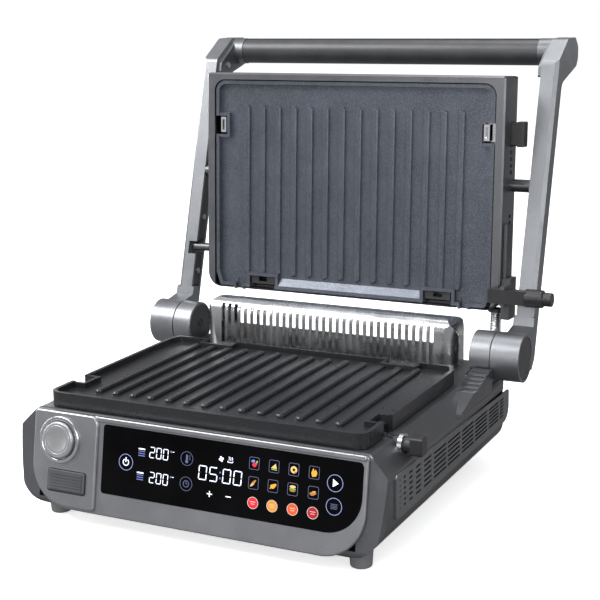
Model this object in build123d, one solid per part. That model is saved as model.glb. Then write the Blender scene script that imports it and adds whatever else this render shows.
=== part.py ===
from build123d import *
import os, math

os.makedirs("parts", exist_ok=True)

# ---------------------------------------------------------------- driving dimensions (mm)
OX, OY = -8.6, -204.5          # moves the appliance so the box bottom centre is the origin

# base housing
BASE_HALF_W = 175.0            # half width across the side walls
DECK_HALF_W = 158.5            # half width of the flat deck
DECK_Z = 97.0                  # deck top
SHOULDER_Z = 80.0              # where the sloped shoulder meets the side wall
BASE_BOT_Z = 13.0              # underside
BASE_BACK_Y = 290.0
FASCIA_TILT = 10.0             # the control face looks slightly upward
FASCIA_BOT = (-20.5, 15.0)     # lower front line of the control face (y, z)
WALL = 2.5

# cooking plates
PLATE_W, PLATE_D = 303.4, 214.7
PLATE_RIM_Z = 110.5
RIB_N, RIB_PITCH, RIB_W = 14, 18.0, 6.6
RIB_Y0, RIB_Y1 = 24.8, 200.8

# hinge
HINGE_Y, HINGE_Z = 263.2, 110.8
DRUM_R = 22.9
DRUM_IN0, DRUM_GROOVE, DRUM_OUT = 151.5, 171.9, 199.3

# arms
ARM_X0, ARM_X1 = 180.0, 196.5
ARM_SLOPE = 0.29               # backward lean, mm per mm of height
ARM_FRONT_Y = 286.0            # front line of the arm at hinge height
ARM_DEPTH = 19.8
ARM_TOP_Z = 379.0

# handle
GRIP_Y, GRIP_Z, GRIP_R = 407.6, 386.3, 13.5
GRIP_HALF = 166.0

# lid
LID_Y, LID_Z, LID_LEAN = 298.3, 144.2, 3.1    # lower front line and backward lean (deg)
LID_HALF_W, LID_H = 161.5, 224.7
LID_DEPTH = 34.0               # depth of the side walls
LID_BACK = 50.0                # full depth with the domed back cover
PIN_D, PIN_K, PIN_R = 31.3, 119.7, 6.5        # pivot pin, measured from the lower front line
LIMIT_K, LIMIT_D, LIMIT_R = 39.0, 13.5, 4.3

# hood over the extraction fan
HOOD_HALF, HOOD_Y0, HOOD_Y1, HOOD_TOP = 135.5, 243.0, 287.0, 146.5
SLOT_N, SLOT_PITCH, SLOT_W = 32, 7.3, 4.2

# height adjuster
SLIDE_TRAVEL = 44.0

# wiring conduit between base and lid
CONDUIT_R = 5.6
CONDUIT_BASE = (162.5, 281.8)

NODES = {}


# ---------------------------------------------------------------- helpers
def bx(x0, x1, y0, y1, z0, z1):
    return Pos((x0 + x1) / 2, (y0 + y1) / 2, (z0 + z1) / 2) * Box(abs(x1 - x0), abs(y1 - y0), abs(z1 - z0))


def cylx(r, x0, x1, y, z):
    return Pos((x0 + x1) / 2, y, z) * Rot(0, 90, 0) * Cylinder(r, abs(x1 - x0))


def cyly(r, y0, y1, x, z):
    return Pos(x, (y0 + y1) / 2, z) * Rot(90, 0, 0) * Cylinder(r, abs(y1 - y0))


def cylz(r, z0, z1, x, y):
    return Pos(x, y, (z0 + z1) / 2) * Cylinder(r, abs(z1 - z0))


def poly(pts, radii=None):
    """planar polygon in XY with optional corner radii, as a Sketch"""
    s = make_face(Polyline(*[(a, b) for a, b in pts], close=True))
    if radii:
        for (a, b), r in zip(pts, radii):
            if r:
                v = s.vertices().sort_by_distance(Vector(a, b, 0))[0]
                s = fillet([v], r)
    return s


# maps a local XY sketch onto the three principal planes
def on_yz(s, x0, x1):        # sketch x -> Y, y -> Z, extruded along X
    pl = Plane(origin=(x0, 0, 0), x_dir=(0, 1, 0), z_dir=(1, 0, 0))
    return extrude(pl * s, x1 - x0)


def on_xz(s, y0, y1):        # sketch x -> X, y -> Z, extruded along +Y
    pl = Plane(origin=(0, y1, 0), x_dir=(1, 0, 0), z_dir=(0, -1, 0))
    return extrude(pl * s, y1 - y0)


def on_xy(s, z0, z1):
    pl = Plane(origin=(0, 0, z0), x_dir=(1, 0, 0), z_dir=(0, 0, 1))
    return extrude(pl * s, z1 - z0)


def rrect(x0, x1, y0, y1, r):
    rr = r if isinstance(r, (list, tuple)) else [r] * 4
    return poly([(x0, y0), (x1, y0), (x1, y1), (x0, y1)], rr)


def mir(s):
    return mirror(s, about=Plane.YZ)


def solids_of(s):
    out = []
    for q in (s if isinstance(s, (list, tuple)) else [s]):
        out += list(q.solids())
    return out


def put(name, s):
    """register a node; solids are moved to the shared origin"""
    so = [Pos(OX, OY, 0) * q for q in solids_of(s)]
    NODES[name] = so


def fascia(s):               # from the upright fascia frame to its tilted place
    return Pos(0, FASCIA_BOT[0], FASCIA_BOT[1]) * Rot(-FASCIA_TILT, 0, 0) * s


def lid(s):                  # from the lid frame (X, depth, height) to its place
    return Pos(0, LID_Y, LID_Z) * Rot(-LID_LEAN, 0, 0) * s


# ---------------------------------------------------------------- base housing
def base_body(inset):
    w = BASE_HALF_W - inset
    top = DECK_Z - inset
    bot = BASE_BOT_Z + inset
    k = inset * 0.6
    sec = poly([(-w, bot), (w, bot), (w, SHOULDER_Z - k), (DECK_HALF_W - k, top), (-DECK_HALF_W + k, top), (-w, SHOULDER_Z - k)],
               [36 - inset, 36 - inset, 6, 5, 5, 6])
    a = on_xz(sec, -40, 320)
    t = math.tan(math.radians(FASCIA_TILT))
    yf = FASCIA_BOT[0] + inset
    side = poly([(yf - 2 * t * 1, bot), (BASE_BACK_Y - inset, bot), (BASE_BACK_Y - inset, top),
                 (yf + (top - 15) * t, top)], [7, 9, 7, 5])
    b = on_yz(side, -220, 220)
    plan = rrect(-w, w, -22 + inset, BASE_BACK_Y - inset, [17 - inset / 2, 17 - inset / 2, 18, 18])
    c = on_xy(plan, 0, 130)
    return a & b & c


POCKET = [bx(s * 149.5, s * 200, 237, 300, 84, 130) for s in (1, -1)]
outer = base_body(0)
outer = outer - POCKET[0] - POCKET[1]
inner = base_body(WALL)
for s in (1, -1):
    inner = inner - bx(s * (149.5 - WALL), s * 200, 237 - WALL, 300, 84 - WALL, 130)
OUTER = outer
housing = outer - inner
housing -= bx(-144, 144, 8, 207, 90, 120)                       # opening below the lower plate
for s in (1, -1):
    housing -= bx(s * 130, s * 150.5, 34, 57.5, 90, 120)            # pockets for the plate latches
    housing -= bx(s * 160, s * 190, 14, 282, 46.5, 75.0)        # window behind the vent panel
housing -= bx(-134, 134, 4, 276, 5, BASE_BOT_Z + WALL + 0.2)    # opening for the bottom cover
housing -= bx(-120, 120, 246, 284, 90, 105)                     # air opening below the hood
housing -= bx(-112, 112, 280, 300, 30, 76)                      # opening for the rear grille
housing -= fascia(bx(-152, 151, -10, 12, 6, 78))                # opening behind the control face
housing -= cylx(6.6, 150, 180, 43, 92)                          # lower release button
housing -= cylz(7.4, 78, 90, CONDUIT_BASE[0], CONDUIT_BASE[1])    # conduit gland hole
FEET = [(-146, 3.2), (146, 3.2), (-128, 262), (128, 262)]
for sx, sy in FEET:
    housing -= cylz(2.6, 5, 25, sx, sy)
put("base_housing", housing)

bottom = on_xy(rrect(-133.7, 133.7, 4.3, 275.7, 4), BASE_BOT_Z, BASE_BOT_Z + 2.2)
for i in range(9):
    bottom -= on_xy(rrect(-80 + i * 20 - 3, -80 + i * 20 + 3, 90, 190, 2.9), 0, 30)
put("bottom_cover", bottom)

feet = []
for sx, sy in FEET:
    f = Pos(sx, sy, 8.0) * Cone(9.0, 10.2, 16.0)
    f = fillet(f.edges().sort_by(Axis.Z)[0], 1.5)
    f = f - OUTER
    f = max(f.solids(), key=lambda q: q.volume)
    feet.append(f)
put("feet", feet)

# ---------------------------------------------------------------- control face
FASC_H = 83.2
plate = on_xz(poly([(-159.0, -1.5), (159.0, -1.5), (159.0, FASC_H), (-159.0, FASC_H)], [38, 38, 3, 3]), -3.0, -0.1)
plate = fillet(plate.edges().filter_by(lambda e: abs(e.center().Y + 3.0) < 0.01), 1.6)
block = on_xz(poly([(-157.5, 0.5), (-91.0, 0.5), (-91.0, FASC_H), (-157.5, FASC_H)], [36.5, 4, 8, 3]), -5.6, -0.1)
block = fillet(block.edges().filter_by(lambda e: abs(e.center().Y + 5.6) < 0.01), 2.2)
brow = on_xz(rrect(-93, 158.0, 78.4, FASC_H, 2.2), -4.6, -0.1)
brow = fillet(brow.edges().filter_by(lambda e: abs(e.center().Y + 4.6) < 0.01), 1.4)
fas = plate + block + brow
glass_out = poly([(-86.5, 18.0), (155.4, 18.0), (155.4, 77.4), (-86.5, 77.4)], [3, 31, 4.5, 3])
fas -= on_xz(glass_out, -6, -1.0)
KNOB_X, KNOB_K = -129.2, 58.8
fas -= cyly(17.3, -20, 5, KNOB_X, KNOB_K)
fas -= on_xz(rrect(-139.8, -100.7, 13.5, 32.9, 2.2), -8, 5)
put("front_fascia", fascia(fas))

glass = on_xz(poly([(-86.3, 18.2), (155.2, 18.2), (155.2, 77.2), (-86.3, 77.2)], [2.8, 30.8, 4.3, 2.8]), -3.3, -1.0)
put("display_glass", fascia(glass))

bez = cyly(20.4, -8.0, -5.6, KNOB_X, KNOB_K) - cyly(16.9, -10, 5, KNOB_X, KNOB_K)
bez = fillet(bez.edges().filter_by(GeomType.CIRCLE).sort_by(Axis.Y)[0:2], 1.0)
bez += cyly(17.1, -5.7, 0.8, KNOB_X, KNOB_K) - cyly(16.3, -10, 5, KNOB_X, KNOB_K)
put("fan_button_bezel", fascia(bez))

btn = cyly(15.9, -10.6, 1.0, KNOB_X, KNOB_K)
btn = fillet(btn.edges().filter_by(GeomType.CIRCLE).sort_by(Axis.Y)[0], 1.8)
btn -= Pos(KNOB_X, -52.0, KNOB_K) * Sphere(42.6)
btn += cyly(4.0, 0.9, 7.0, KNOB_X, KNOB_K)
put("fan_button", fascia(btn))

cover = on_xz(rrect(-139.5, -101.0, 14.8, 32.6, 2.0), -7.2, -5.0)
cover = fillet(cover.edges().filter_by(lambda e: abs(e.center().Y + 7.2) < 0.01), 0.5)
for i in range(6):
    cover += on_xz(rrect(-136.8, -103.7, 16.4 + i * 2.55, 17.8 + i * 2.55, 0.5), -7.9, -7.0)
cover += cylx(1.0, -138.6, -101.9, -5.9, 15.6)
put("probe_port_cover", fascia(cover))

well = on_xz(rrect(-139.5, -101.0, 13.9, 32.6, 2.0), -4.5, 6.0) - on_xz(rrect(-138.0, -102.5, 17.6, 31.1, 1.4), -9, 4.5)
well -= cyly(3.4, 0, 12, -120.2, 24.3)
put("probe_port_well", fascia(well))
jack = cyly(3.3, -1.5, 6.5, -120.2, 24.3) - cyly(1.5, -3, 5.0, -120.2, 24.3)
put("probe_jack", fascia(jack))

board = fascia(bx(-84, 150, 4.0, 5.6, 20, 76)) + fascia(bx(-60, -20, 5.5, 10, 30, 60)) + fascia(bx(30, 80, 5.5, 9, 34, 56))
board = board & inner
put("control_board", board)

# ---------------------------------------------------------------- side vent panels
def vent_panel():
    t = 1.3
    sk = poly([(3.5, 42.5), (288, 42.5), (288, 72.0), (3.5, 79.3)], [3, 14, 3, 3])
    p = on_yz(sk, BASE_HALF_W + 0.02, BASE_HALF_W + t)
    rows = 6
    cols = [(85.5, 115.5), (119, 150.5), (154.5, 186), (189.5, 224), (227.5, 257), (260.5, 271.5)]
    for j in range(rows):
        for (a, b) in cols:
            zt = 74.8 - 0.0265 * ((a + b) / 2)
            z = 49.4 + (zt - 51.2) * j / 5.0
            p -= on_yz(rrect(a, b, z, z + 1.9, 0.9), 170, 180)
        for x, ln in ((10.0, 1.9), (18.8, 4.5), (30.5, 7.5), (45.0, 11.0), (63.0, 17.0)):
            zt = 74.8 - 0.0265 * x
            z = 49.4 + (zt - 51.2) * j / 5.0
            if ln < 2.4:
                p -= cylx(0.95, 170, 180, x + 1, z + 0.95)
            else:
                p -= on_yz(rrect(x, x + ln, z, z + 1.9, 0.9), 170, 180)
    return p


vp = vent_panel()
put("side_vent_panels", [vp, mir(vp)])

# ---------------------------------------------------------------- rear grille, power inlet
rear = on_xz(rrect(-111.7, 111.7, 30.3, 75.7, 2), BASE_BACK_Y - WALL, BASE_BACK_Y - 0.3)
for i in range(24):
    x = -66 + i * 7.2
    rear -= on_xz(rrect(x, x + 3.2, 36, 70, 1.5), 270, 300)
rear -= on_xz(rrect(-100.3, -75.7, 38.7, 59.3, 2), 270, 300)
put("rear_grille", rear)
inlet = on_xz(rrect(-103, -73, 36, 62, 3), BASE_BACK_Y - 0.25, BASE_BACK_Y + 2.0) + on_xz(rrect(-100, -76, 39, 59, 2), BASE_BACK_Y - 14, BASE_BACK_Y)
inlet -= on_xz(poly([(-97.5, 41.5), (-78.5, 41.5), (-78.5, 53), (-82, 56.5), (-94, 56.5), (-97.5, 53)], [1] * 6), BASE_BACK_Y - 12, BASE_BACK_Y + 5)
for px_, pz_ in ((-94, 46.2), (-88, 52.2), (-82, 46.2)):
    inlet += bx(px_ - 0.7, px_ + 0.7, BASE_BACK_Y - 12.5, BASE_BACK_Y - 3, pz_ - 1.8, pz_ + 1.8)
put("power_inlet", inlet)

# ---------------------------------------------------------------- lower tray, heating element
tray = on_xy(rrect(-143.7, 143.7, 8.3, 206.7, 6), 76, 94.3) - on_xy(rrect(-142.5, 142.5, 9.5, 205.5, 5), 77.2, 100)
for s in (1, -1):
    tray -= bx(s * 129, s * 152, 32, 59, 70, 120)
put("lower_reflector", tray)
legs = []
for sx in (-110, 110):
    for sy in (30, 190):
        legs.append(cylz(4, BASE_BOT_Z + 2.25, 75.95, sx, sy))
put("tray_posts", legs)


def element(cx, y0, y1, z, d=6.5):
    r = d / 2
    pts = []
    xs = [-100, -60, -20, 20, 60, 100]
    path = Polyline((xs[0], y0, z), (xs[0], y1, z), (xs[1], y1, z), (xs[1], y0 + 12, z), (xs[2], y0 + 12, z), (xs[2], y1, z),
                    (xs[3], y1, z), (xs[3], y0 + 12, z), (xs[4], y0 + 12, z), (xs[4], y1, z), (xs[5], y1, z), (xs[5], y0, z))
    path = FilletPolyline((xs[0], y0, z), (xs[0], y1, z), (xs[1], y1, z), (xs[1], y0 + 12, z), (xs[2], y0 + 12, z), (xs[2], y1, z),
                          (xs[3], y1, z), (xs[3], y0 + 12, z), (xs[4], y0 + 12, z), (xs[4], y1, z), (xs[5], y1, z), (xs[5], y0, z), radius=18)
    sec = Plane(origin=path @ 0, z_dir=path % 0) * Circle(r)
    return sweep(sec, path=path)


el = element(0, 20, 190, 84.0)
put("lower_element", el)
brk = [bx(-106, 106, yy - 3, yy + 3, 77.25, 80.7) for yy in (60, 150)]
put("element_brackets", brk)


# ---------------------------------------------------------------- cooking plates
def cook_plate(drip):
    """plate in its own frame: cooking side up, rim top at z=0, front edge at y=0"""
    hw = PLATE_W / 2
    body = on_xy(poly([(-hw, 0), (hw, 0), (hw, 201), (hw - 5, PLATE_D), (-hw + 5, PLATE_D), (-hw, 201)], [11, 11, 3, 3, 3, 3]), -12.8, 0)
    body -= on_xy(poly([(-hw + 3.6, 3.6), (hw - 3.6, 3.6), (hw - 3.6, 199), (hw - 8, PLATE_D - 3.6), (-hw + 8, PLATE_D - 3.6), (-hw + 3.6, 199)],
                       [8, 8, 3, 3, 3, 3]), -5.0, 5)
    for i in range(RIB_N):
        x = (i - (RIB_N - 1) / 2) * RIB_PITCH
        rib = on_xy(rrect(x - RIB_W / 2, x + RIB_W / 2, RIB_Y0, RIB_Y1, RIB_W / 2 - 0.05), -5.1, -1.9)
        rib = chamfer(rib.edges().filter_by(lambda e: abs(e.center().Z + 1.9) < 0.01), 1.2)
        body += rib
    body += on_xy(rrect(-138, 138, 14, 200, 6), -19.5, -12.7)                     # thick underside
    for s in (1, -1):
        # latch pocket: raised wall round the notch, then the notch itself
        body += bx(s * 136.0, s * 150, 33.3, 58.7, -12.8, -0.6) - bx(s * 139.2, s * 160, 36.5, 55.5, -30, 5)
        body -= bx(s * 139.2, s * 160, 36.5, 55.5, -30, 5)
        # hook recess in the back rim
        body += bx(s * 79, s * 115.5, 198.6, PLATE_D - 0.2, -12.8, -0.6)
        body -= bx(s * 82.5, s * 112, 202.3, PLATE_D + 5, -30, 5)
    if drip:
        # sloped lip that sheds drips, and two spouts at its ends
        lip = on_yz(poly([(203.5, -5.1), (PLATE_D - 3.5, -0.8), (PLATE_D - 3.5, -5.1)]), -78.9, 78.9)
        body += lip
        for s in (1, -1):
            body += bx(s * 118.5, s * 131, PLATE_D - 3.7, PLATE_D + 3.0, -8.0, -1.2) - bx(s * 121, s * 128.5, PLATE_D - 5, PLATE_D + 5, -5.8, 3)
            body -= bx(s * 121, s * 128.5, PLATE_D - 8, PLATE_D + 5, -5.8, 3)
    return body


low = Pos(0, 0, PLATE_RIM_Z) * cook_plate(False)
put("lower_plate", low)

# latch clips of the lower plate, and fixed hooks behind it
def latch(s):
    a = bx(s * 140.6, s * 146.4, 38.2, 53.8, 84, 105.5) - bx(s * 142.2, s * 144.8, 40.6, 51.4, 93, 110)
    a += bx(s * 140.6, s * 148.8, 36.6, 55.2, 84, 88) + bx(s * 148.7, s * 154.8, 42, 48, 84, 91)
    return a


put("lower_latches", [latch(1), latch(-1)])
hooks = []
for s in (1, -1):
    h = bx(s * 84.5, s * 110, 208.5, 222, DECK_Z + 0.02, DECK_Z + 3) + bx(s * 84.5, s * 110, 207.5, 210.5, DECK_Z + 0.02, 107)
    h += bx(s * 84.5, s * 93, 203.4, 210.5, 104.5, 107) + bx(s * 101.5, s * 110, 203.4, 210.5, 104.5, 107)
    hooks.append(h)
put("rear_plate_hooks", hooks)

# ---------------------------------------------------------------- extraction hood, filter, fan
hp = poly([(HOOD_Y0, DECK_Z + 0.02), (HOOD_Y1, DECK_Z + 0.02), (HOOD_Y1 - 3, HOOD_TOP - 6), (HOOD_Y0 + 2, HOOD_TOP)], [0, 0, 12, 13])
hx = poly([(-HOOD_HALF, 80), (HOOD_HALF, 80), (HOOD_HALF, HOOD_TOP + 2), (-HOOD_HALF, HOOD_TOP + 2)], [0, 0, 24, 24])
hpl = rrect(-HOOD_HALF, HOOD_HALF, HOOD_Y0 - 0.01, HOOD_Y1 + 0.01, [17, 17, 17, 17])
h_out = on_yz(hp, -HOOD_HALF, HOOD_HALF) & on_xz(hx, 230, 300) & on_xy(hpl, 80, 160)
T = 1.5
hp2 = poly([(HOOD_Y0 + T, DECK_Z - 3), (HOOD_Y1 - T, DECK_Z - 3), (HOOD_Y1 - 3 - T, HOOD_TOP - 6 - T), (HOOD_Y0 + 2 + T, HOOD_TOP - T)], [0, 0, 10.5, 11.5])
hx2 = poly([(-HOOD_HALF + T, 80), (HOOD_HALF - T, 80), (HOOD_HALF - T, HOOD_TOP + 2 - T), (-HOOD_HALF + T, HOOD_TOP + 2 - T)], [0, 0, 22.5, 22.5])
hpl2 = rrect(-HOOD_HALF + T, HOOD_HALF - T, HOOD_Y0 + T, HOOD_Y1 - T, [15.5, 15.5, 15.5, 15.5])
h_in = on_yz(hp2, -HOOD_HALF, HOOD_HALF) & on_xz(hx2, 230, 300) & on_xy(hpl2, 80, 160)
hood = h_out - h_in
for i in range(SLOT_N):
    x = (i - (SLOT_N - 1) / 2) * SLOT_PITCH
    hood -= bx(x - SLOT_W / 2, x + SLOT_W / 2, HOOD_Y0 - 2, HOOD_Y0 + 10.0, 100.5, 140.2)
hood -= on_xz(rrect(-116, 116, 103, 131, 4), HOOD_Y1 - 8, HOOD_Y1 + 4)      # open outlet at the back
put("smoke_hood", hood)
mesh = bx(-128, 128, 257.2, 258.0, DECK_Z + 0.02, 116.4) + bx(-128, 128, 256.4, 258.8, 116.3, 118.2)
put("filter_mesh", mesh)

FAN_Y, FAN_Z, FAN_R = 258.0, 62.0, 17.0
imp = cylx(1.6, -112, 112, FAN_Y, FAN_Z)
for x in (-100, -50, 0, 50, 99):
    imp += cylx(FAN_R, x, x + 1.2, FAN_Y, FAN_Z)
for k in range(12):
    a = k * 30
    bl = Rot(a, 0, 0) * (Pos(0, FAN_R - 1.9, 0) * Rot(28, 0, 0) * Box(200, 3.0, 0.6))
    imp += Pos(0, FAN_Y, FAN_Z) * bl
put("fan_impeller", imp)
brks = []
for s in (1, -1):
    b = bx(s * 106, s * 110, 251, 265, BASE_BOT_Z + 2.25, 69) - cylx(1.9, s * 100, s * 120, FAN_Y, FAN_Z)
    b += bx(s * 106, s * 123.5, 251, 265, BASE_BOT_Z + 2.25, BASE_BOT_Z + 4.2)
    brks.append(b)
put("fan_bearings", brks)
mot = cylx(14.0, 114, 129.5, FAN_Y, FAN_Z) + bx(124, 129, 250, 266, BASE_BOT_Z + 2.3, 56)
mot -= cylx(2.0, 110, 118, FAN_Y, FAN_Z)
put("fan_motor", mot)

# ---------------------------------------------------------------- hinge: fixed drums and shafts
def drum_fixed():
    d = cylx(DRUM_R, DRUM_IN0, DRUM_GROOVE - 0.3, HINGE_Y, HINGE_Z)
    d = fillet(d.edges().filter_by(GeomType.CIRCLE), 1.0)
    foot = on_yz(poly([(246, 84.02), (271.5, 84.02), (268, 97), (250, 97)]), 153.5, 168.5)
    d = d + foot
    d -= cylx(20.6, DRUM_IN0 - 1, DRUM_IN0 + 2.0, HINGE_Y, HINGE_Z)
    d -= cylx(7.0, DRUM_IN0, 180, HINGE_Y, HINGE_Z)
    return d


df = drum_fixed()
put("hinge_drums", [df, mir(df)])
fc = cylx(20.3, DRUM_IN0 + 0.5, DRUM_IN0 + 1.9, HINGE_Y, HINGE_Z) - cylx(4.6, 140, 160, HINGE_Y + 0.5, HINGE_Z + 0.5)
put("drum_faces", [fc, mir(fc)])
sh = cylx(6.98, DRUM_IN0 + 2.1, 191.5, HINGE_Y, HINGE_Z)
sh -= cylx(3.0, 150, 158, HINGE_Y, HINGE_Z)
put("hinge_shafts", [sh, mir(sh)])


# ---------------------------------------------------------------- arms
def arm_y(z, off=0.0):
    return ARM_FRONT_Y + off + ARM_SLOPE * (z - HINGE_Z)


def arm_profile(inset):
    i = inset
    d = ARM_DEPTH
    pts = [(arm_y(122, i), 122), (arm_y(ARM_TOP_Z, i), ARM_TOP_Z - i * 0.2), (398 + i * .4, 400.0 - i), (424, 400.4 - i), (434.5 - i, 391), (434.5 - i, 379 + i),
           (429, 372 + i), (arm_y(358, d) - i, 358), (arm_y(100, d) - i, 100 + i), (292, 90 + i * 1.3), (288 + i, 100)]
    return pts


def arm():
    pr = poly(arm_profile(0), [0, 6, 7, 6, 6, 6, 5, 12, 8, 5, 0])
    a = on_yz(pr, ARM_X0, ARM_X1)
    # bevel along the outer front edge
    a -= Pos(ARM_X1, arm_y(246), 246) * Rot(-math.degrees(math.atan(ARM_SLOPE)), 0, 0) * Rot(0, 0, 45) * Box(5.0, 5.0, 282)
    # channel, open on the inner side
    pin = poly([(arm_y(140, 3), 140), (arm_y(366, 3), 366), (arm_y(366, ARM_DEPTH - 3), 366), (arm_y(140, ARM_DEPTH - 3), 140)], [2, 2, 2, 2])
    a -= on_yz(pin, ARM_X0 - 1, ARM_X1 - 3.0)
    # boss for the pivot pin
    py, pz = lid_pt(PIN_D, PIN_K)
    a += cylx(9.4, ARM_X0 + 1.9, ARM_X1 - 2.9, py, pz) & on_yz(poly([(arm_y(140, 1), 140), (arm_y(366, 1), 366), (arm_y(366, ARM_DEPTH - 1), 366), (arm_y(140, ARM_DEPTH - 1), 140)]), 170, 196)
    a -= cylx(3.75, ARM_X0 - 5, ARM_X1 - 4.5, py, pz)
    # drum of the hinge and the web that joins it
    a += cylx(DRUM_R, DRUM_GROOVE + 0.3, DRUM_OUT, HINGE_Y, HINGE_Z)
    web = poly([(263.2, 133.6), (276, 131.0), (arm_y(134), 134), (arm_y(142), 142), (arm_y(142, 6), 142), (arm_y(110, 8), 100), (290, 93), (278, 93.5), (263.2, 100)])
    a += on_yz(web, 177.5, 198.0)
    a -= cylx(7.35, 160, 192.2, HINGE_Y, HINGE_Z)
    a -= cylx(20.3, DRUM_OUT - 1.6, DRUM_OUT + 2, HINGE_Y, HINGE_Z)
    # limit-pin gate through the front wall of the channel
    return a


def lid_pt(d, k):
    t = math.radians(LID_LEAN)
    return (LID_Y + d * math.cos(t) + k * math.sin(t), LID_Z - d * math.sin(t) + k * math.cos(t))


PIN_Y, PIN_Z = lid_pt(PIN_D, PIN_K)
LIM_Y, LIM_Z = lid_pt(LIMIT_D, LIMIT_K)
ar = arm()
al = mir(ar)
# gate for the limit pin in the left arm: it opens through the front wall
gate = Pos(0, LIM_Y, LIM_Z) * Rot(0, 0, 0) * Box(18, 2 * LIMIT_R + 1.0, 2 * LIMIT_R + 1.6)
gate_l = Pos(-184, LIM_Y - 8.0, LIM_Z) * Box(10.2, 17.6 + 2 * LIMIT_R, 2 * LIMIT_R + 4.4)
al -= gate_l
put("arm_right", ar)
put("arm_left", al)


def strip(z0, z1, hole=False, left=False):
    c = poly([(arm_y(z0, 3.25), z0), (arm_y(z1, 3.25), z1), (arm_y(z1, ARM_DEPTH - 3.25), z1), (arm_y(z0, ARM_DEPTH - 3.25), z0)], [2.4] * 4)
    p = on_yz(c, ARM_X0 + 0.3, ARM_X0 + 1.8)
    p -= cylx(PIN_R + 1.6, 170, 190, PIN_Y, PIN_Z)
    return p


zg0, zg1 = LIM_Z - LIMIT_R - 2.6, LIM_Z + LIMIT_R + 2.6
up_r, lo_r = strip(zg1, 365.5), strip(142.5, zg0)
scr = {}


def inner_screws(zs):
    out = []
    for z in zs:
        y = arm_y(z, ARM_DEPTH / 2)
        s = cylx(3.0, ARM_X0 - 0.9, ARM_X0 + 0.28, y, z) - bx(ARM_X0 - 1.2, ARM_X0 - 0.5, y - 0.5, y + 0.5, z - 2, z + 2) - bx(ARM_X0 - 1.2, ARM_X0 - 0.5, y - 2, y + 2, z - 0.5, z + 0.5)
        out.append(s)
    return out


put("arm_cover_strips", [up_r, lo_r, mir(up_r), mir(lo_r)])
iscr = inner_screws([157, 213, 348])
put("arm_cover_screws", iscr + [mir(q) for q in iscr])
cap = cylx(20.0, DRUM_OUT - 1.5, DRUM_OUT - 0.3, HINGE_Y, HINGE_Z)
cap = fillet(cap.edges().filter_by(GeomType.CIRCLE).sort_by(Axis.X)[-1], 0.4)
put("drum_caps", [cap, mir(cap)])

# ---------------------------------------------------------------- handle
gr = cylx(GRIP_R - 0.4, -GRIP_HALF, GRIP_HALF, GRIP_Y, GRIP_Z)
cutb = Pos(0, GRIP_Y, GRIP_Z) * Rot(-38, 0, 0) * (Pos(0, 0, GRIP_R) * Box(400, 2.2 * GRIP_R, 12.0))
gr = gr - cutb
put("handle_grip", gr)
stp = (cylx(GRIP_R, -GRIP_HALF, GRIP_HALF, GRIP_Y, GRIP_Z)) & (Pos(0, GRIP_Y, GRIP_Z) * Rot(-38, 0, 0) * (Pos(0, 0, GRIP_R + 0.06) * Box(400, 2.2 * GRIP_R, 11.9)))
put("handle_strip", stp)
core = None
col = cylx(GRIP_R + 0.2, GRIP_HALF + 0.05, ARM_X0 - 0.05, GRIP_Y, GRIP_Z)
flange = on_yz(poly([(arm_y(364, 4), 364), (arm_y(374, 4), 375), (396, 394), (424, 396), (430, 390), (430, 381), (424, 375), (392, 366.5)], [2] * 8), ARM_X0 - 4.0, ARM_X0 - 0.05)
col = col + flange
put("handle_brackets", [col, mir(col)])
bs = cylx(3.2, ARM_X0 - 5.0, ARM_X0 - 4.02, 381, 372.5) - bx(ARM_X0 - 5.4, ARM_X0 - 4.6, 380.5, 381.5, 370.3, 374.7) - bx(ARM_X0 - 5.4, ARM_X0 - 4.6, 378.8, 383.2, 372, 373)
put("bracket_screws", [bs, mir(bs)])

# ---------------------------------------------------------------- lid (built upright in its own frame)
W2 = LID_HALF_W
fr = on_xz(poly([(-W2, 0), (W2, 0), (W2, LID_H), (-W2, LID_H)], [15, 15, 3.5, 3.5]), 0, LID_DEPTH)
fr = chamfer(fr.edges().filter_by(lambda e: abs(e.center().Y) < 0.01), 1.6)
fr -= on_xz(poly([(-W2 + 2.5, 2.5), (W2 - 2.5, 2.5), (W2 - 2.5, LID_H - 2.5), (-W2 + 2.5, LID_H - 2.5)], [12, 12, 2, 2]), 3.0, LID_DEPTH + 5)
hw = PLATE_W / 2
fr -= on_xz(poly([(-hw - 1.2, 1.2), (hw + 1.2, 1.2), (hw + 1.2, 217.8), (-hw - 1.2, 217.8)], [4.2, 4.2, 12, 12]), -5, 16)
# outlets of the plate's drip spouts, and the hook recesses, through the lower wall
for s in (1, -1):
    fr -= bx(s * 117.3, s * 132.2, -5, 4, -5, 5) if False else bx(s * 117.3, s * 132.2, -6, 16.0, -5, 5)
    # side vents
for i in range(4):
    for s in (1, -1):
        fr -= bx(s * 150, s * 170, 20.5, 28.0, 131.0 + 6.4 * i, 134.6 + 6.4 * i)
for i in range(6):
    for s in (1, -1):
        fr -= bx(s * 150, s * 170, 22.5, 29.0, 57.5 + 6.2 * i, 60.9 + 6.2 * i)
for i in range(5):
    fr -= bx(-116, 116, 13.5 + 4.2 * i, 15.6 + 4.2 * i, -4, 4)              # louvres along the lower wall
fr -= bx(150, 175, 20.6, 32.6, 157.5, 181.5)                                 # upper release button
fr -= cylx(2.5, 150, 175, PIN_D, PIN_K) + cylx(2.5, -175, -150, PIN_D, PIN_K)
fr -= cylx(2.2, -175, -150, LIMIT_D, LIMIT_K)
put("lid_frame", lid(fr))

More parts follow.
